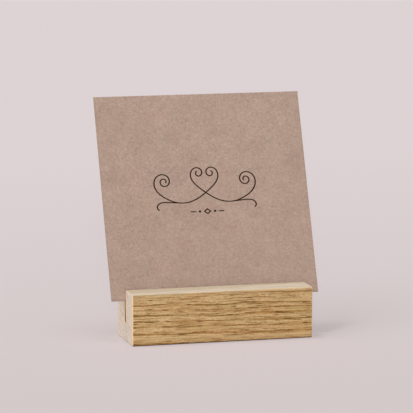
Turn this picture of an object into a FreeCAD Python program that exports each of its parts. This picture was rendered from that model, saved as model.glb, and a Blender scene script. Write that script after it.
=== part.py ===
"""Place card: a flat kraft card held by a saw kerf along the top of a small oak block.

Millimetres. The origin is the middle of the block's underside, where it stands on the table.
+X runs along the block with the grain, +Y goes to the back and +Z is up.
"""
import FreeCAD, Part
import math
import os

# The oak block, a length of planed strip
BLOCK_LENGTH = 73.5     # along the grain, over the two sawn ends
BLOCK_DEPTH = 24.0      # front to back
BLOCK_HEIGHT = 20.5
EDGE_ROUND = 0.5        # outer edges, broken with sandpaper

# The kerf that holds the card, sawn from end to end down the middle of the top
KERF_WIDTH = 2.1
KERF_DEPTH = 13.0

# The card, die-cut from one sheet with square corners
CARD_WIDTH = 85.0
CARD_HEIGHT = 83.0
CARD_THICKNESS = 0.4
CARD_SEAT = 4.2         # how far the card's front bottom edge is pushed in below the block's top

SEAT_CLEARANCE = 0.01   # left at each of the two lines where card and kerf meet
SAW_OVERRUN = 1.0       # how far the saw passes beyond the wood


def oak_block():
    """The planed strip: every outer edge is eased first, and the kerf is sawn after that, so its mouth is crisp."""
    corner = FreeCAD.Vector(-BLOCK_LENGTH / 2, -BLOCK_DEPTH / 2, 0)
    strip = Part.makeBox(BLOCK_LENGTH, BLOCK_DEPTH, BLOCK_HEIGHT, corner)
    eased = strip.makeFillet(EDGE_ROUND, strip.Edges)
    return eased.cut(saw_path())


def saw_path():
    """The space that the blade sweeps out, past both ends and the top of the block."""
    length = BLOCK_LENGTH + 2 * SAW_OVERRUN
    height = KERF_DEPTH + SAW_OVERRUN
    corner = FreeCAD.Vector(-length / 2, -KERF_WIDTH / 2, BLOCK_HEIGHT - KERF_DEPTH)
    return Part.makeBox(length, KERF_WIDTH, height, corner)


def card_lean():
    """The angle in degrees at which the card comes to rest in the kerf.

    It touches along two lines: its front bottom edge on the kerf's front wall, CARD_SEAT below the
    top, and its back on the upper edge of the rear wall. With w the way across from the first line
    to the second, h the way up and t the card's thickness, w cos(lean) - h sin(lean) = t.
    """
    across = KERF_WIDTH - SEAT_CLEARANCE
    between = math.hypot(across, CARD_SEAT)
    thickness = CARD_THICKNESS + SEAT_CLEARANCE
    return math.degrees(math.acos(thickness / between) - math.atan2(CARD_SEAT, across))


def name_card():
    """The card, tipped back about its front bottom edge and standing out past both ends of the block."""
    sheet = Part.makeBox(CARD_WIDTH, CARD_THICKNESS, CARD_HEIGHT)
    front_bottom_left = FreeCAD.Vector(
        -CARD_WIDTH / 2,
        SEAT_CLEARANCE - KERF_WIDTH / 2,
        BLOCK_HEIGHT - CARD_SEAT,
    )
    tipped_back = FreeCAD.Rotation(FreeCAD.Vector(1, 0, 0), -card_lean())
    sheet.Placement = FreeCAD.Placement(front_bottom_left, tipped_back)
    return sheet


os.makedirs("parts", exist_ok=True)
for name, solid in (("oak_block", oak_block()), ("name_card", name_card())):
    solid.exportStep("parts/" + name + ".step")
    print(name, "volume", round(solid.Volume, 1), "mm3, valid", solid.isValid())
print("card leans back", round(card_lean(), 2), "degrees")
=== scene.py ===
"""Place card: a kraft card in a small slotted oak block, on a pale floor in soft light.

Metres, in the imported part's frame: +X along the block, +Y to the back, +Z up, the origin under the block.
The materials and the print are worked out in mm of the real object.
"""
import math

import bpy
from mathutils import Matrix, Vector


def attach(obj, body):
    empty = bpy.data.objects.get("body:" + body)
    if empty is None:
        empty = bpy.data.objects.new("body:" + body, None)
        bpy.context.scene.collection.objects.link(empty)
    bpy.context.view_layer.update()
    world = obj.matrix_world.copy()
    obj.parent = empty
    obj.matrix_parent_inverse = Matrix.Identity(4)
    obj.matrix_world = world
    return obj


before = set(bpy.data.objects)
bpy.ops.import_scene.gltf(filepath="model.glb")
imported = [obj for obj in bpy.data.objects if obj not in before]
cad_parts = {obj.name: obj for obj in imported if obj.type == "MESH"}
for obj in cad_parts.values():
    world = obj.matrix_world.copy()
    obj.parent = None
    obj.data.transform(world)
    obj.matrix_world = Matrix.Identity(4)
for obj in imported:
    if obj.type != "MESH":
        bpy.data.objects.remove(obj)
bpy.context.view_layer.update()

MM = 0.001
scene = bpy.context.scene

# ---------------------------------------------------------------- camera
CAMERA_TURN = math.radians(15.282)      # to the left of straight in front
CAMERA_RAISE = math.radians(8.86)
CAMERA_ROLL = math.radians(0.105)
CAMERA_DISTANCE = 1193.3 * MM
CAMERA_LENS = 261.5                     # a long portrait lens
CAMERA_SENSOR = 36.0
CAMERA_AIM = Vector((-1.29, 8.59, 51.0)) * MM
CAMERA_NEAR = 0.05                      # metres, the nearest and the farthest that it sees
CAMERA_FAR = 50.0


def make_camera():
    """A long lens a little above and to the left, aimed just under the middle of the card."""
    right = Vector((math.cos(CAMERA_TURN), -math.sin(CAMERA_TURN), 0))
    level = Vector((math.sin(CAMERA_TURN), math.cos(CAMERA_TURN), 0))
    forward = level * math.cos(CAMERA_RAISE) + Vector((0, 0, -math.sin(CAMERA_RAISE)))
    up = right.cross(forward)
    rolled_right = right * math.cos(CAMERA_ROLL) + up * math.sin(CAMERA_ROLL)
    rolled_up = rolled_right.cross(forward)
    data = bpy.data.cameras.new("camera")
    data.lens = CAMERA_LENS
    data.sensor_width = CAMERA_SENSOR
    data.clip_start = CAMERA_NEAR
    data.clip_end = CAMERA_FAR
    camera = bpy.data.objects.new("camera", data)
    turn = Matrix((rolled_right, rolled_up, -forward)).transposed()
    camera.matrix_world = Matrix.Translation(CAMERA_AIM - forward * CAMERA_DISTANCE) @ turn.to_4x4()
    scene.collection.objects.link(camera)
    scene.camera = camera


# ---------------------------------------------------------------- how materials are made
def colour(code):
    """An sRGB hex colour as the linear RGBA that a shader takes."""
    channels = [int(code[i:i + 2], 16) / 255 for i in (1, 3, 5)]
    return tuple(c / 12.92 if c <= 0.04045 else ((c + 0.055) / 1.055) ** 2.4 for c in channels) + (1.0,)


def add(tree, kind, inputs=(), **settings):
    """Adds a node with its settings, fills or links its sockets, and gives its outputs.

    A socket goes by its name or its number. Math takes its terms at 0, 1 and 2, and a vector's scale at 3.
    A map range takes the value at 0, the range it comes from at 1 and 2 and the range it goes to at 3 and 4.
    A mix of colours takes the share at 0 and the two colours at 6 and 7.
    """
    made = tree.nodes.new("ShaderNode" + kind)
    for name, value in settings.items():
        setattr(made, name, value)
    for socket, value in dict(inputs).items():
        if isinstance(value, bpy.types.NodeSocket):
            tree.links.new(value, made.inputs[socket])
        else:
            made.inputs[socket].default_value = value
    return made.outputs


def blank(name):
    """A new material with nothing in it yet, and its node tree."""
    material = bpy.data.materials.new(name)
    material.use_nodes = True
    material.node_tree.nodes.clear()
    return material, material.node_tree


def place_in_mm(tree):
    """The place of each point on the object, in mm."""
    place = add(tree, "TexCoord")["Object"]
    return add(tree, "VectorMath", {0: place, 3: 1 / MM}, operation="SCALE")[0]


def mottled(tree, place, size, detail, roughness=0.5):
    """Soft uneven marks, as long each way as size says: how strong they are, and a colour that drifts."""
    spread = add(tree, "VectorMath", {0: place, 1: size}, operation="DIVIDE")[0]
    look = {"Vector": spread, "Scale": 1.0, "Detail": detail, "Roughness": roughness}
    return add(tree, "TexNoise", look)


def shaken(tree, place, drift, reach):
    """The place moved as the drifting colour says, by less than half of reach each way."""
    drift = add(tree, "VectorMath", {0: drift, 1: (0.5, 0.5, 0.5)}, operation="SUBTRACT")[0]
    drift = add(tree, "VectorMath", {0: drift, 1: reach}, operation="MULTIPLY")[0]
    return add(tree, "VectorMath", {0: place, 1: drift}, operation="ADD")[0]


def washed(tree, tone, wash, share, where, bare, full, within=(), ease="LINEAR"):
    """A tone with a wash laid over it: none where the value is at bare, its whole share where it is at full.
    Each value in within, from 0 to 1, holds the wash back to its own places."""
    laid = add(tree, "MapRange", {0: where, 1: bare, 2: full, 3: 0.0, 4: share}, interpolation_type=ease)[0]
    for part in within:
        laid = add(tree, "Math", {0: laid, 1: part}, operation="MULTIPLY")[0]
    return add(tree, "Mix", {0: laid, 6: tone, 7: wash}, data_type="RGBA")[2]


def patched(tree, tone, drift, bare, full, rosy, green):
    """A tone with rosy and greenish patches, as sap and pulp have them. Each is a share and a colour."""
    drift = add(tree, "SeparateColor", {0: drift})
    for channel, (share, code) in enumerate((rosy, green)):
        tone = washed(tree, tone, colour(code), share, drift[channel], bare, full)
    return tone


def surfaced(tree, tone, rough, relief, strength, depth, finish):
    """Ends a material: its tone and roughness, its relief with a depth in mm, and how its finish shines."""
    bump = add(tree, "Bump", {"Height": relief, "Strength": strength, "Distance": depth * MM})[0]
    look = {"Base Color": tone, "Roughness": rough, "Normal": bump, **finish}
    shader = add(tree, "BsdfPrincipled", look)[0]
    add(tree, "OutputMaterial", {"Surface": shader})


# ---------------------------------------------------------------- oak
# Sizes in mm. These places, ways and sizes of three are along the block, back and up.
HEART = (0.0, 24.0, -79.2)              # the middle of the tree, which lies along the block
HEART_LEAN = (0.012, 1, 1)              # how little the way along counts in the distance from it
AROUND = (0.0, 0.964, 0.266)            # the way around the heart, square to the way out from it
WANDER = (70.0, 20.0, 14.0)             # a real trunk's slow wander, and how far it goes
WANDER_REACH = 0.45
SWELL_PLACE = (-2.0, -12.0, 12.2)       # where the rings bulge to the front and close into an eye
SWELL_SIZE = (15.0, 8.0, 4.6)
SWELL_FADE = 1.25                       # how many times that size away the bulge has died out
SWELL_REACH = 0.7
WAVE = (11.0, 5.0, 2.6)                 # small waves in the fibres
TORN = (1.8, 0.5, 0.5)                  # how the planer tears the pores' walls
FLECK = (0.9, 0.38, 0.38)
FUZZ = (0.8, 1.1, 0.6)                  # tufts of fibre ends, as a single one is too fine to show
DRY_PATCH = (1.0, 3.4, 1.7)

# These sizes of three are along the grain, outward from the heart and around it.
WAVE_REACH = (0, 0.18, 0.18)
TORN_REACH = (2.2, 0.07, 0.07)
SLOW_TONE = (70.0, 4.5, 9.0)
STREAK = (38.0, 0.8, 2.4)
SAP_PATCH = (16.0, 2.6, 5.0)
PORE_LINE = (6.4, 0.36, 0.6)            # long pores, about as wide as real ones
PORE_SHORT = (7.2, 0.38, 0.55)
HAIRLINE = (10.5, 0.4, 0.7)             # summer pores, 0.05 wide in real oak, drawn wider so that they show
TUBE = (6.0, 0.5, 0.5)                  # pores cut across, as wide as the widest real ones so that they show

GRAIN_SLOPE = 0.012                     # how fast the grain runs out downwards along the block
RING = 2.1                              # a year's growth
RING_CROWDING = 1.8                     # how many years the rings crowd and spread by
RING_CHANGE = 0.45                      # how often they change between the two, per year
SPRING = 0.32                           # where the spring wood's middle lies in a year's growth, as a share
SPRING_HALF = (0.04, 0.22)              # how far to each side of that it is full of pores, and where it ends
SUMMER_SHARE = 0.08                     # how much of that is left in summer wood
PORE_GATE = 0.08                        # how much rarer the long pores are there
DRY_YEAR = 89.2                         # from the heart, the paler wood of one dry summer
DRY_YEAR_HALF = (0.9, 0.3)              # to each side of it, where it starts to pale and where it is palest
RAY = (0.5, 13.0, 1.0)                  # around and outward: rays, drawn as thick as the broadest real ones
FLECK_DARK = (0.79, 0.735, 0.55, 1)     # what a dark and a pale fleck make of the wood's own colour
FLECK_PALE = (1.2, 1.245, 1.34, 1)

SIDE_TOP_HIGHLIGHT = (19.1, 20.0)                 # heights between which a side is painted paler, a painted highlight under its top edge
SIDE_FOOT_SHADE = (1.5, 0.5)                  # and between which it is painted darker towards its foot, as painted shade by the floor
PALE_FRONT = (-5.2, -7.6)               # how far back the painted highlight along the top's front starts, and where it is palest
PALE_SLANT = -0.045                     # how much that line shifts for each mm along
LIT_END_EDGES = (8.3, 11.4)                # to each side of the middle, where a painted highlight along an end's front and back edges starts and is full
NEAR_MIDDLE = 5.0                       # only the kerf has corners this near to the block's middle plane
LIT_MOUTH = (0.14, 0.24)              # in from an end, where the kerf's wall is painted lit and where painted shade takes over
KERF_SHADE_TOP = 16.0                       # the height below which the painted shade in the kerf deepens
KERF_SHADE_DEEPEST = 1.5                    # and how far above the kerf's floor it is deepest
KERF_FADE = (-0.4, 0.2)                 # above the kerf's floor, where the painted shade in it and the painted highlight beside it start and are full
KERF_SLACK = 0.03                       # how far past its wall a point still counts as in the kerf
LIT_RIM_FULL = 0.1                          # out from the kerf, how far the painted highlight on its rim is full, and where it ends
LIT_RIM_END = 1.0


def wood_place(tree, mm, along, back):
    """Each point's place by the grain, outward and around, so that pores and streaks follow the rings, and
    its distance from the heart before the small waves."""
    wander = mottled(tree, mm, WANDER, detail=2.0, roughness=0.45)[0]
    wander = add(tree, "MapRange", {0: wander, 1: 0.3, 2: 0.7, 3: -WANDER_REACH, 4: WANDER_REACH})[0]
    out = add(tree, "VectorMath", {0: mm, 1: HEART}, operation="SUBTRACT")[0]
    out = add(tree, "VectorMath", {0: out, 1: HEART_LEAN}, operation="MULTIPLY")[0]
    out = add(tree, "VectorMath", {0: out}, operation="LENGTH")["Value"]
    eye = add(tree, "VectorMath", {0: mm, 1: SWELL_PLACE}, operation="SUBTRACT")[0]
    eye = add(tree, "VectorMath", {0: eye, 1: SWELL_SIZE}, operation="DIVIDE")[0]
    eye = add(tree, "VectorMath", {0: eye}, operation="LENGTH")["Value"]
    swell = {0: eye, 1: 0.0, 2: SWELL_FADE, 3: SWELL_REACH, 4: 0.0}
    swell = add(tree, "MapRange", swell, interpolation_type="SMOOTHSTEP")[0]
    out = add(tree, "Math", {0: out, 1: wander}, operation="ADD")[0]
    out = add(tree, "Math", {0: along, 1: GRAIN_SLOPE, 2: out}, operation="MULTIPLY_ADD")[0]
    out = add(tree, "Math", {0: out, 1: swell}, operation="ADD")[0]
    wood = add(tree, "CombineXYZ", {0: along, 1: out, 2: back})[0]
    wave = mottled(tree, mm, WAVE, detail=1.0)[1]
    return shaken(tree, wood, wave, WAVE_REACH), out


def spring_wood(tree, wood_out):
    """1 in the band of wood that each spring grows, where the pores are, and little in summer wood.
    The years are of uneven width."""
    year = add(tree, "Math", {0: wood_out, 1: RING}, operation="DIVIDE")[0]
    crowding = {"W": year, "Scale": RING_CHANGE, "Detail": 0.0}
    crowding = add(tree, "TexNoise", crowding, noise_dimensions="1D")[0]
    year = add(tree, "Math", {0: crowding, 1: RING_CROWDING, 2: year}, operation="MULTIPLY_ADD")[0]
    season = add(tree, "Math", {0: year}, operation="FRACT")[0]
    apart = add(tree, "Math", {0: season, 1: SPRING}, operation="SUBTRACT")[0]
    apart = add(tree, "Math", {0: apart}, operation="ABSOLUTE")[0]
    full, ended = SPRING_HALF
    band = {0: apart, 1: full, 2: ended, 3: 1.0, 4: SUMMER_SHARE}
    return add(tree, "MapRange", band, interpolation_type="SMOOTHSTEP")[0]


def open_pores(tree, torn, spring, depth):
    """Long thin cells that the planer has cut open, some deep and some only grazed."""
    gate = add(tree, "Math", {0: spring, 1: -PORE_GATE, 2: PORE_GATE}, operation="MULTIPLY_ADD")[0]
    line = mottled(tree, torn, PORE_LINE, detail=1.0)[0]
    line = add(tree, "Math", {0: line, 1: gate}, operation="ADD")[0]
    line = add(tree, "MapRange", {0: line, 1: 0.455, 2: 0.405, 3: 0.0, 4: 0.95})[0]
    spread = add(tree, "VectorMath", {0: torn, 1: PORE_SHORT}, operation="DIVIDE")[0]
    cell = add(tree, "TexVoronoi", {"Vector": spread, "Scale": 1.0})
    dash = add(tree, "MapRange", {0: cell["Distance"], 1: 0.27, 2: 0.33, 3: 1.0, 4: 0.0})[0]
    grazed = add(tree, "SeparateColor", {0: cell["Color"]})[0]
    grazed = add(tree, "MapRange", {0: grazed, 1: 0.2, 2: 0.75})[0]
    often = add(tree, "MapRange", {0: spring, 3: 0.12, 4: 1.0})[0]
    for share in (grazed, often):
        dash = add(tree, "Math", {0: dash, 1: share}, operation="MULTIPLY")[0]
    pore = add(tree, "Math", {0: line, 1: dash}, operation="MAXIMUM")[0]
    return add(tree, "Math", {0: pore, 1: depth}, operation="MULTIPLY")[0]


def planed_sides(tree, mm, wood, wood_out, torn, spring, pore, streak, height):
    """The planed sides: honey wood with darker spring bands, fibre streaks, flecks and open pores, with a
    painted highlight under the top edge and painted shade towards the foot.
    """
    drift = mottled(tree, wood, SLOW_TONE, detail=1.0)[0]
    tone = washed(tree, colour("#C5A272"), colour("#CFAF82"), 1.0, drift, 0.3, 0.7)
    tone = washed(tree, tone, colour("#926408"), 0.6, spring, 0, 1)
    tone = washed(tree, tone, colour("#845600"), 0.38, streak, 0.52, 0.3)
    tone = washed(tree, tone, colour("#DCC094"), 0.25, streak, 0.5, 0.68)
    hairline = mottled(tree, torn, HAIRLINE, detail=0.0)[0]
    tone = washed(tree, tone, colour("#744A00"), 0.5, hairline, 0.44, 0.3)
    tone = washed(tree, tone, colour("#E0CAA0"), 0.3, hairline, 0.54, 0.7)
    fleck = mottled(tree, mm, FLECK, detail=2.0, roughness=0.6)[0]
    fleck = washed(tree, FLECK_DARK, FLECK_PALE, 1.0, fleck, 0.3, 0.7)
    tone = add(tree, "VectorMath", {0: tone, 1: fleck}, operation="MULTIPLY")[0]
    sap = mottled(tree, wood, SAP_PATCH, detail=2.0)[1]
    tone = patched(tree, tone, sap, 0.5, 0.66, rosy=(0.22, "#C98F58"), green=(0.22, "#B79E60"))
    tone = washed(tree, tone, colour("#603A00"), 1.0, pore, 0, 1)
    apart = add(tree, "Math", {0: wood_out, 1: DRY_YEAR}, operation="SUBTRACT")[0]
    apart = add(tree, "Math", {0: apart}, operation="ABSOLUTE")[0]
    tone = washed(tree, tone, colour("#D8B888"), 0.5, apart, *DRY_YEAR_HALF, ease="SMOOTHSTEP")
    # painted highlight: the top of each side is paled, as if its upper edge catches the light
    tone = washed(tree, tone, colour("#DEC6A0"), 0.36, height, *SIDE_TOP_HIGHLIGHT)
    # painted shade: each side darkens towards its foot, where it meets the floor
    return washed(tree, tone, colour("#8C6438"), 0.3, height, *SIDE_FOOT_SHADE)


def sawn_ends_and_sheen(tree, mm, wood, out, spring, fuzz):
    """The sawn ends: the rings are faint and everything is paler, partly as fuzzy end grain and partly as
    painted sheen where the light grazes them.
    """
    # partly painted sheen: the ends' tone is paler than bare end grain would be
    tone = washed(tree, colour("#BAAE9D"), colour("#F3EAE0"), 1.0, fuzz, 0.36, 0.64)
    tone = washed(tree, tone, colour("#BFA684"), 0.5, spring, 0, 1)
    spread = add(tree, "VectorMath", {0: wood, 1: TUBE}, operation="DIVIDE")[0]
    tube = add(tree, "TexVoronoi", {"Vector": spread, "Scale": 1.0})["Distance"]
    tone = washed(tree, tone, colour("#8E6A40"), 0.8, tube, 0.4, 0.26, within=[spring])
    around = add(tree, "VectorMath", {0: mm, 1: AROUND}, operation="DOT_PRODUCT")["Value"]
    across = add(tree, "CombineXYZ", {0: around, 1: out})[0]
    across = add(tree, "VectorMath", {0: across, 1: RAY}, operation="DIVIDE")[0]
    ray = {"Vector": across, "Scale": 1.0, "Detail": 2.0}
    ray = add(tree, "TexNoise", ray, noise_dimensions="2D")[0]
    tone = washed(tree, tone, colour("#F0E8DE"), 0.55, ray, 0.54, 0.64)
    dry = mottled(tree, mm, DRY_PATCH, detail=1.0)[1]
    return patched(tree, tone, dry, 0.46, 0.62, rosy=(0.3, "#E0C3AC"), green=(0.25, "#D2C7A4"))


def top_sheen_tone(tree, streak, along, back):
    """The top, painted pale and a little grey as painted sheen where the light grazes it, and palest along
    the front as a painted highlight.
    """
    front = add(tree, "Math", {0: along, 1: PALE_SLANT, 2: back}, operation="MULTIPLY_ADD")[0]
    start, full = PALE_FRONT
    front = {0: front, 1: start, 2: full, 3: -0.12, 4: 0.07}
    front = add(tree, "MapRange", front, interpolation_type="SMOOTHSTEP")[0]
    pale = add(tree, "Math", {0: streak, 1: front}, operation="ADD")[0]
    return washed(tree, colour("#B8AD99"), colour("#DFD9CE"), 1.0, pale, 0.34, 0.64)


def kerf_and_ends():
    """Half the block's length, half the kerf's width and the height of its floor, in mm, from the block."""
    corners = [corner.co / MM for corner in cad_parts["oak_block"].data.vertices]
    kerf = [corner for corner in corners if abs(corner.y) < NEAR_MIDDLE]
    length_half = max(corner.x for corner in corners)
    return length_half, max(corner.y for corner in kerf), min(corner.z for corner in kerf)


def kerf_shade_and_highlights(tree, tone, along, back, height, is_end):
    """Painted shade darkens the kerf's walls, more so deeper down and farther in from an end. Its mouth, a
    warm rim on the end beside it and a band along each end's front and back edges are painted highlights.
    """
    block_half, kerf_half, kerf_floor = kerf_and_ends()
    beside = add(tree, "Math", {0: back}, operation="ABSOLUTE")[0]
    start, full = KERF_FADE
    above_floor = add(tree, "MapRange", {0: height, 1: kerf_floor + start, 2: kerf_floor + full})[0]
    inside = add(tree, "Math", {0: beside, 1: kerf_half + KERF_SLACK}, operation="LESS_THAN")[0]
    inside = add(tree, "Math", {0: inside, 1: above_floor}, operation="MULTIPLY")[0]
    from_end = add(tree, "Math", {0: along}, operation="ABSOLUTE")[0]
    from_end = add(tree, "Math", {0: block_half, 1: from_end}, operation="SUBTRACT")[0]
    deep = {0: height, 1: KERF_SHADE_TOP, 2: kerf_floor + KERF_SHADE_DEEPEST, 3: 0.74, 4: 1.18}
    deep = add(tree, "MapRange", deep)[0]
    # painted shade in the kerf, deepest low down and in from the mouth, which is painted lit
    wall = washed(tree, colour("#FFCF9C"), colour("#542804"), 0.85, from_end, *LIT_MOUTH, within=[deep])
    tone = washed(tree, tone, wall, 0.9, inside, 0, 1)
    rim = (kerf_half + LIT_RIM_END, kerf_half + LIT_RIM_FULL)
    # painted highlight: a warm rim on the end beside the kerf
    tone = washed(tree, tone, colour("#FAD0A0"), 0.75, beside, *rim, within=[above_floor, is_end])
    # painted highlight along each end's front and back edges
    return washed(tree, tone, colour("#F0CFA4"), 0.5, beside, *LIT_END_EDGES, within=[is_end])


def painted_edge_light(tree, tone, normal, upward, endward):
    """Painted highlight pales the eased edges, and painted shade darkens the lower long ones, which turn
    down to the floor.
    """
    turned = add(tree, "VectorMath", {0: normal}, operation="ABSOLUTE")[0]
    turned = add(tree, "SeparateXYZ", {0: turned})
    flat = add(tree, "Math", {0: turned[0], 1: turned[1]}, operation="MAXIMUM")[0]
    flat = add(tree, "Math", {0: flat, 1: turned[2]}, operation="MAXIMUM")[0]
    # painted highlight on the rounded edges that do not face down
    highlight_tone = washed(tree, colour("#F6D6A8"), colour("#D4C09C"), 1.0, turned[2], 0.1, 0.5)
    not_facing_down = add(tree, "Math", {0: upward, 1: -0.1}, operation="GREATER_THAN")[0]
    tone = washed(tree, tone, highlight_tone, 0.46, flat, 0.99, 0.86, within=[not_facing_down])
    rounded = add(tree, "MapRange", {0: flat, 1: 0.995, 2: 0.93})[0]
    lengthwise = add(tree, "MapRange", {0: endward, 1: 0.3, 2: 0.6, 3: 1.0, 4: 0.1})[0]
    # painted shade along the lower long edges, where they turn down towards the floor
    return washed(tree, tone, colour("#4A3C33"), 0.95, upward, -0.06, -0.4, within=[rounded, lengthwise])


def oak():
    """Planed oak, left raw. The planer leaves it matt, the open pores of each spring's wood show as dark
    dashes along the grain, and the sawn ends are furry and paler, partly as painted sheen. The top is paled
    as painted sheen, the eased edges, the kerf's mouth and the sides' top carry painted highlights, and the
    kerf and the foot carry painted shade."""
    material, tree = blank("planed_oak")
    mm = place_in_mm(tree)
    along, back, height = add(tree, "SeparateXYZ", {0: mm})
    normal = add(tree, "TexCoord")["Normal"]
    facing = add(tree, "SeparateXYZ", {0: normal})
    upward = facing[2]
    endward = add(tree, "Math", {0: facing[0]}, operation="ABSOLUTE")[0]
    is_end = add(tree, "MapRange", {0: endward, 1: 0.55, 2: 0.8}, interpolation_type="SMOOTHSTEP")[0]

    wood, out = wood_place(tree, mm, along, back)
    wood_out = add(tree, "SeparateXYZ", {0: wood})[1]
    spring = spring_wood(tree, wood_out)
    ragged = mottled(tree, mm, TORN, detail=2.0)
    torn = shaken(tree, wood, ragged[1], TORN_REACH)
    depth = add(tree, "MapRange", {0: ragged[0], 1: 0.36, 2: 0.56, 3: 0.45, 4: 1.0})[0]
    pore = open_pores(tree, torn, spring, depth)
    streak = mottled(tree, wood, STREAK, detail=4.0, roughness=0.75)[0]
    fuzz = mottled(tree, mm, FUZZ, detail=3.0, roughness=0.7)[0]

    tone = planed_sides(tree, mm, wood, wood_out, torn, spring, pore, streak, height)
    # painted sheen: the faces that look up are paled and greyed
    tone = washed(tree, tone, top_sheen_tone(tree, streak, along, back), 0.6, upward, 0.6, 0.95)
    tone = washed(tree, tone, sawn_ends_and_sheen(tree, mm, wood, out, spring, fuzz), 1.0, is_end, 0, 1)
    tone = kerf_shade_and_highlights(tree, tone, along, back, height, is_end)
    tone = painted_edge_light(tree, tone, normal, upward, endward)

    # the fibre ends stand up and the pores lie open, and where it is lower it is also rougher
    groove = add(tree, "Math", {0: pore, 1: -1.0}, operation="MULTIPLY")[0]
    relief = add(tree, "Math", {0: fuzz, 1: 0.6, 2: groove}, operation="MULTIPLY_ADD")[0]
    rough = add(tree, "MapRange", {0: relief, 1: -1.0, 2: 0.6, 3: 0.8, 4: 0.52})[0]
    raw = {"IOR": 1.5, "Specular IOR Level": 0.12, "Sheen Weight": 0.04, "Sheen Roughness": 0.5}
    surfaced(tree, tone, rough, relief, strength=0.5, depth=0.12, finish=raw)
    return material


# ---------------------------------------------------------------- kraft card
# Sizes in mm, the same in every direction
PULP_CLOUD = (7.0, 7.0, 7.0)            # how the pulp settled on the wire
PULP_MOTTLE = (0.95, 0.95, 0.95)
PULP_GRAIN = (0.42, 0.42, 0.42)
PULP_PATCH = (6.0, 6.0, 6.0)            # rosy and greenish, from mixed waste paper
FIBRE_CURL = (2.2, 2.2, 2.2)            # how the fibres bend, and how far
FIBRE_REACH = 2.4
FIBRE_APART = 1.5                       # between fibres
FIBRE_HALF = 0.09                       # as a share of that, some 4 times as thick as real so that they show
FOOT_RIM = (1.1, 0.2)                   # from the foot, where the darker rim starts, and where it is full
SIDE_RIM = (0.9, 0.1)


def fibres(tree, mm, mottle):
    """Short curled fibres: the pale ones, which lie where the pulp is pale, and the dark ones."""
    curl = mottled(tree, mm, FIBRE_CURL, detail=1.0)[1]
    curl = add(tree, "VectorMath", {0: curl, 3: FIBRE_REACH}, operation="SCALE")[0]
    lay = add(tree, "VectorMath", {0: mm, 1: curl}, operation="ADD")[0]
    net = {"Vector": lay, "Scale": 1 / FIBRE_APART}
    net = add(tree, "TexVoronoi", net, feature="DISTANCE_TO_EDGE")["Distance"]
    fibre = add(tree, "MapRange", {0: net, 1: 0.0, 2: FIBRE_HALF, 3: 1.0, 4: 0.0})[0]
    pale_pulp = add(tree, "MapRange", {0: mottle, 1: 0.5, 2: 0.62})[0]
    dark_pulp = add(tree, "MapRange", {0: mottle, 1: 0.46, 2: 0.36})[0]
    pale_fibre = add(tree, "Math", {0: fibre, 1: pale_pulp}, operation="MULTIPLY")[0]
    dark_fibre = add(tree, "Math", {0: fibre, 1: dark_pulp}, operation="MULTIPLY")[0]
    return pale_fibre, dark_fibre


def darker_rim(tree, tone, mm):
    """Darkens the rim, most of all along the foot, and the sheet a little towards the foot."""
    corners = [corner.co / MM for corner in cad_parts["name_card"].data.vertices]
    foot = min(CARD_UP.dot(corner) for corner in corners)
    head = max(CARD_UP.dot(corner) for corner in corners)
    side = max(corner.x for corner in corners)
    climb = add(tree, "VectorMath", {0: mm, 1: CARD_UP}, operation="DOT_PRODUCT")["Value"]
    tone = washed(tree, tone, colour("#92796D"), 0.14, climb, head, foot)
    start, full = FOOT_RIM
    foot_rim = add(tree, "MapRange", {0: climb, 1: foot + full, 2: foot + start, 3: 0.42, 4: 0.0})[0]
    sideways = add(tree, "SeparateXYZ", {0: mm})[0]
    sideways = add(tree, "Math", {0: sideways}, operation="ABSOLUTE")[0]
    start, full = SIDE_RIM
    side_rim = add(tree, "MapRange", {0: sideways, 1: side - start, 2: side - full, 3: 0.0, 4: 0.12})[0]
    rim = add(tree, "Math", {0: foot_rim, 1: side_rim}, operation="MAXIMUM")[0]
    return washed(tree, tone, colour("#80706A"), 1.0, rim, 0, 1)


def kraft():
    """Uncoated kraft card, calendered once. Its pulp is cloudy, short fibres lie in it lighter and darker
    than the sheet, and it has no gloss."""
    material, tree = blank("kraft_card")
    mm = place_in_mm(tree)
    cloud = mottled(tree, mm, PULP_CLOUD, detail=2.0)[0]
    mottle = mottled(tree, mm, PULP_MOTTLE, detail=3.0, roughness=0.65)[0]
    grain = mottled(tree, mm, PULP_GRAIN, detail=2.0, roughness=0.7)[0]
    shade = add(tree, "Math", {0: cloud, 1: 0.52, 2: mottle}, operation="MULTIPLY_ADD")[0]
    shade = add(tree, "Math", {0: grain, 1: shade}, operation="ADD")[0]
    shade = add(tree, "MapRange", {0: shade, 1: 0.98, 2: 1.53})[0]
    tone = washed(tree, colour("#9F8778"), colour("#B69D8E"), 1.0, shade, 0, 1)
    patch = mottled(tree, mm, PULP_PATCH, detail=3.0, roughness=0.6)[1]
    tone = patched(tree, tone, patch, 0.48, 0.66, rosy=(0.24, "#B29484"), green=(0.26, "#A89984"))
    pale_fibre, dark_fibre = fibres(tree, mm, mottle)
    tone = washed(tree, tone, colour("#D0BAA6"), 0.28, pale_fibre, 0, 1)
    tone = washed(tree, tone, colour("#7C6556"), 0.46, dark_fibre, 0, 1)
    tone = darker_rim(tree, tone, mm)
    relief = add(tree, "Math", {0: pale_fibre, 1: 0.5, 2: shade}, operation="MULTIPLY_ADD")[0]
    rough = add(tree, "MapRange", {0: shade, 3: 0.92, 4: 0.82})[0]
    surfaced(tree, tone, rough, relief, strength=0.35, depth=0.05, finish={"IOR": 1.45})
    return material


# ---------------------------------------------------------------- ink
SOAK = (0.9, 0.9, 0.9)                  # mm, the patches in which ink sinks in


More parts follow.
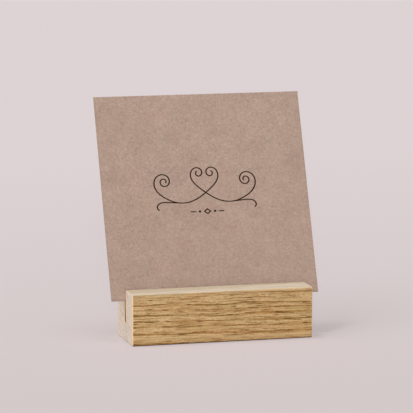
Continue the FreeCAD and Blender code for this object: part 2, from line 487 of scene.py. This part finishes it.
def ink():
    """Dark brown offset ink on uncoated card: it sinks in unevenly and dries almost matt."""
    material, tree = blank("brown_ink")
    mm = place_in_mm(tree)
    soak = mottled(tree, mm, SOAK, detail=3.0, roughness=0.65)[0]
    soak = add(tree, "MapRange", {0: soak, 1: 0.35, 2: 0.7})[0]
    tone = washed(tree, colour("#241206"), colour("#382012"), 1.0, soak, 0, 1)
    rough = add(tree, "MapRange", {0: soak, 3: 0.55, 4: 0.75})[0]
    surfaced(tree, tone, rough, soak, strength=0.3, depth=0.02, finish={"Specular IOR Level": 0.12})
    return material


# ---------------------------------------------------------------- print on the card
# Sizes in mm
INK_LINE = 0.56                         # the pen line at its widest
INK_THIN = 0.76                         # its share of that where the pen travels level
INK_ROUND = 0.12                        # the share of its width that a line's round end starts from
INK_PROUD = 0.02                        # how far the ink stands up from the card, and how far it sinks in
INK_SUNK = 0.01
INK_LAYER = 0.002                       # how much prouder each further mark is, so that none coincide
INK_TIP = 0.03                          # half the least width that a mark tapers to
PEN_STEP = 0.08                         # between the points of a pen line

FLOURISH_DROP = 38.0                    # from the card's top edge down to the flourish's middle
SCROLL_START = (0, -2.6)                # the scroll's middle, and its heading and bend there
SCROLL_HEADING = -37
SCROLL_BEND = 1.0
SCROLL_ONWARD = [(6, 4), (6, 5.5), (6, 2.5), (5.5, 10), (5, 15.5), (5, 20), (5, 28), (5, 42), (3, 70)]
SCROLL_BACK = [(4, 2), (5, 14), (5, 24), (4.6, 38), (4, 66)]
TAIL_START = (10.4, -6.56)
TAIL_HEADING = 3.1
TAIL_BEND = 0.5
TAIL_ONWARD = [(3.4, 1), (4, -6), (3, -34), (2.2, -60)]

ROW_DROP = 48.3                         # from the card's top edge down to the small row
ROW_GAP = 0.95                          # between the row's marks
DOT_SIZE = 1.0
DOT_TAPER = 1.0                         # a circle's
DASH_LENGTH = 2.4
DASH_WIDTH = 0.44
DASH_TAPER = 0.4                        # blunter
LOZENGE_WIDTH = 3.4
LOZENGE_HEIGHT = 2.5
LOZENGE_LINE = 0.5


def card_face():
    """The card's front as its right, up and outward directions, with its top and its surface along them."""
    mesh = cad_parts["name_card"].data
    front = max((side for side in mesh.polygons if side.normal.y < 0), key=lambda side: side.area)
    right, out = Vector((1, 0, 0)), front.normal.copy()
    up = out.cross(right)
    top = max(up.dot(corner.co) for corner in mesh.vertices)
    surface = max(out.dot(corner.co) for corner in mesh.vertices)
    return right, up, out, top, surface


def pen_line(start, heading, bends, bend):
    """A line that a turning pen draws, as points in mm. The heading is in degrees and the bend at the start
    in degrees per mm. Each of bends is a length and the bend that the pen has reached at its end. The bend
    changes evenly on the way, so the line has no kink."""
    heading, bend = math.radians(heading), math.radians(bend)
    line = [Vector(start)]
    for length, reached in bends:
        steps = max(2, round(length / PEN_STEP))
        step, rate = length / steps, (math.radians(reached) - bend) / steps
        for _ in range(steps):
            heading += (bend + rate / 2) * step
            bend += rate
            line.append(line[-1] + Vector((math.cos(heading), math.sin(heading))) * step)
    return line


def pen_line_both_ways(middle, heading, onward, back, bend):
    """A pen line given from a point in its middle, so that its two halves meet without a kink."""
    back = [(length, -reached) for length, reached in back]
    return pen_line(middle, heading + 180, back, -bend)[:0:-1] + pen_line(middle, heading, onward, bend)


def ribbon(line):
    """The two edges of an inked line: thicker where the pen goes up or down, with round ends."""
    edges, gone, total = [], 0.0, sum((b - a).length for a, b in zip(line, line[1:]))
    for count, point in enumerate(line):
        along = (line[min(count + 1, len(line) - 1)] - line[max(count - 1, 0)]).normalized()
        gone += (point - line[count - 1]).length if count else 0.0
        half = INK_LINE / 2 * (INK_THIN + (1 - INK_THIN) * abs(along.y))
        from_end = min(gone, total - gone)
        if from_end < half:
            half *= max(INK_ROUND, math.sqrt(1 - (1 - from_end / half) ** 2))
        side = Vector((-along.y, along.x)) * half
        edges.append((point + side, point - side))
    return edges


def tapered(middle, length, width, taper, steps):
    """The two edges of a level mark that narrows to both its ends, the blunter the less its taper."""
    edges = []
    for step in range(steps + 1):
        turn = math.pi * step / steps
        centre = middle - Vector((length / 2 * math.cos(turn), 0))
        half = Vector((0, max(width / 2 * math.sin(turn) ** taper, INK_TIP)))
        edges.append((centre + half, centre - half))
    return edges


def ink_solid(verts, faces, loops, closed, lift):
    """Adds a thin closed solid between two edges: loops holds pairs of points in mm on the card's face."""
    first = len(verts)
    for pair in loops:
        for height in (CARD_SURFACE + (INK_PROUD + lift) * MM, CARD_SURFACE - INK_SUNK * MM):
            for point in pair:
                across = CARD_RIGHT * point.x * MM + CARD_UP * (CARD_TOP + point.y * MM)
                verts.append(across + CARD_OUT * height)
    count = len(loops)
    for here in range(count if closed else count - 1):
        a, b = first + 4 * here, first + 4 * ((here + 1) % count)
        faces += [(a, a + 1, b + 1, b), (a + 2, b + 2, b + 3, a + 3)]
        faces += [(a, b, b + 2, a + 2), (a + 1, a + 3, b + 3, b + 1)]
    if not closed:
        last = first + 4 * (count - 1)
        faces += [(first, first + 2, first + 3, first + 1), (last, last + 1, last + 3, last + 2)]


def inked(name, parts):
    """One printed piece from its parts, each a list of edge pairs and whether it closes on itself."""
    verts, faces = [], []
    for order, (loops, closed) in enumerate(parts):
        ink_solid(verts, faces, loops, closed, order * INK_LAYER)
    mesh = bpy.data.meshes.new(name)
    mesh.from_pydata(verts, [], faces)
    piece = bpy.data.objects.new(name, mesh)
    scene.collection.objects.link(piece)
    mesh.materials.append(INK)
    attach(piece, "root")


def make_flourish():
    """A printer's scroll: two lines that cross under an open heart, and a tail that leaves each of them."""
    scroll = pen_line_both_ways(SCROLL_START, SCROLL_HEADING, SCROLL_ONWARD, SCROLL_BACK, SCROLL_BEND)
    tail = pen_line(TAIL_START, TAIL_HEADING, TAIL_ONWARD, TAIL_BEND)
    parts = []
    for line in (scroll, tail):
        for side in (1, -1):
            lowered = [Vector((side * point.x, point.y - FLOURISH_DROP)) for point in line]
            parts.append((ribbon(lowered if side > 0 else lowered[::-1]), False))
    inked("flourish", parts)


def make_small_row():
    """A lozenge between dots and dashes, under the flourish."""
    middle = Vector((0, -ROW_DROP))
    wide, high = Vector((LOZENGE_WIDTH / 2, 0)), Vector((0, LOZENGE_HEIGHT / 2))
    slope = math.hypot(LOZENGE_WIDTH, LOZENGE_HEIGHT) / (LOZENGE_WIDTH * LOZENGE_HEIGHT)
    inner = 1 - 2 * LOZENGE_LINE * slope
    parts = [([(middle + corner * inner, middle + corner) for corner in (wide, high, -wide, -high)], True)]
    dot_out = LOZENGE_WIDTH / 2 + ROW_GAP + DOT_SIZE / 2
    dash_out = dot_out + DOT_SIZE / 2 + ROW_GAP + DASH_LENGTH / 2
    for side in (1, -1):
        dot_middle = middle + Vector((side * dot_out, 0))
        dash_middle = middle + Vector((side * dash_out, 0))
        parts.append((tapered(dot_middle, DOT_SIZE, DOT_SIZE, DOT_TAPER, steps=12), False))
        parts.append((tapered(dash_middle, DASH_LENGTH, DASH_WIDTH, DASH_TAPER, steps=16), False))
    inked("small_row", parts)


def dress(node, material):
    """Gives a CAD node its material."""
    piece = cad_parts[node]
    for slot in piece.material_slots:
        slot.material = material


# ---------------------------------------------------------------- stage
FLOOR_REACH = 8.0                       # metres each way, so its edge is never in view
FLOOR_NEAR = -127 * MM                  # where the paper's tone starts to lift, and where it is full
FLOOR_FAR = 500 * MM
FLOOR_PLAIN_SHARE = 0.45                # the part of the tone that no shadow reaches, as on a lit sweep
ROOM_FILL = 0.315                       # the light that comes from all around
LAMPS = (                               # name, bearing, rise, spread and strength, as soft_light says
    ("left_softbox", 190.8, 42, 60, 1.27),
    ("overhead_lamp", 151, 73.9, 7.4, 0.5),
    ("high_right_softbox", 352, 81.5, 29, 0.56),
    ("front_softbox", 254.7, 15, 9, 1.23),
)


def seen_plainly(tree):
    """1 for what is seen straight, in a reflection or through glass, 0 for what only lights."""
    path = add(tree, "LightPath")
    seen = add(tree, "Math", {0: path["Is Camera Ray"], 1: path["Is Glossy Ray"]}, operation="ADD")[0]
    seen = {0: seen, 1: path["Is Transmission Ray"]}
    return add(tree, "Math", seen, operation="ADD", use_clamp=True)[0]


def floor_paper():
    """Seamless background paper, matt, with its tone lifting gently towards the back."""
    material, tree = blank("floor_paper")
    place = add(tree, "TexCoord")["Object"]
    depth = add(tree, "SeparateXYZ", {0: place})["Y"]
    tone = washed(tree, colour("#D3C8C8"), colour("#DDD2D3"), 1.0, depth, FLOOR_NEAR, FLOOR_FAR)
    paper = add(tree, "BsdfDiffuse", {"Color": tone})[0]
    glow = add(tree, "Emission", {"Color": tone, "Strength": 1.0})[0]
    share = {0: seen_plainly(tree), 1: FLOOR_PLAIN_SHARE}
    share = add(tree, "Math", share, operation="MULTIPLY")[0]
    both = add(tree, "MixShader", {0: share, 1: paper, 2: glow})[0]
    add(tree, "OutputMaterial", {"Surface": both})
    return material


def make_floor():
    """The paper that the block stands on."""
    mesh = bpy.data.meshes.new("floor")
    corners = [(x * FLOOR_REACH, y * FLOOR_REACH, 0) for x, y in ((-1, -1), (1, -1), (1, 1), (-1, 1))]
    mesh.from_pydata(corners, [], [(0, 1, 2, 3)])
    floor = bpy.data.objects.new("floor", mesh)
    mesh.materials.append(floor_paper())
    scene.collection.objects.link(floor)


def soft_light(name, bearing, rise, spread, strength):
    """A very large, far lamp. Its bearing is in degrees from +X towards +Y, its rise in degrees above the
    floor, and its spread is how wide it looks from the object."""
    data = bpy.data.lights.new(name, "SUN")
    data.angle = math.radians(spread)
    data.energy = strength
    lamp = bpy.data.objects.new(name, data)
    bearing, rise = math.radians(bearing), math.radians(rise)
    level = Vector((math.cos(bearing), math.sin(bearing), 0)) * math.cos(rise)
    towards = level + Vector((0, 0, math.sin(rise)))
    lamp.rotation_euler = (-towards).to_track_quat("-Z", "Y").to_euler()
    scene.collection.objects.link(lamp)


def make_light():
    """A pale room that fills the shadows, and a lamp on the left, one in front and two high up."""
    world = bpy.data.worlds.new("room")
    world.use_nodes = True
    tree = world.node_tree
    tree.nodes.clear()
    fill = add(tree, "Background", {"Color": colour("#FFFFFF"), "Strength": ROOM_FILL})[0]
    backdrop = add(tree, "Background", {"Color": colour("#DED3D4"), "Strength": 1.0})[0]
    both = add(tree, "MixShader", {0: seen_plainly(tree), 1: fill, 2: backdrop})[0]
    add(tree, "OutputWorld", {"Surface": both})
    scene.world = world
    for lamp in LAMPS:
        soft_light(*lamp)


make_camera()
make_floor()
make_light()
CARD_RIGHT, CARD_UP, CARD_OUT, CARD_TOP, CARD_SURFACE = card_face()
dress("oak_block", oak())
dress("name_card", kraft())
INK = ink()
make_flourish()
make_small_row()

scene.view_settings.view_transform = "Standard"
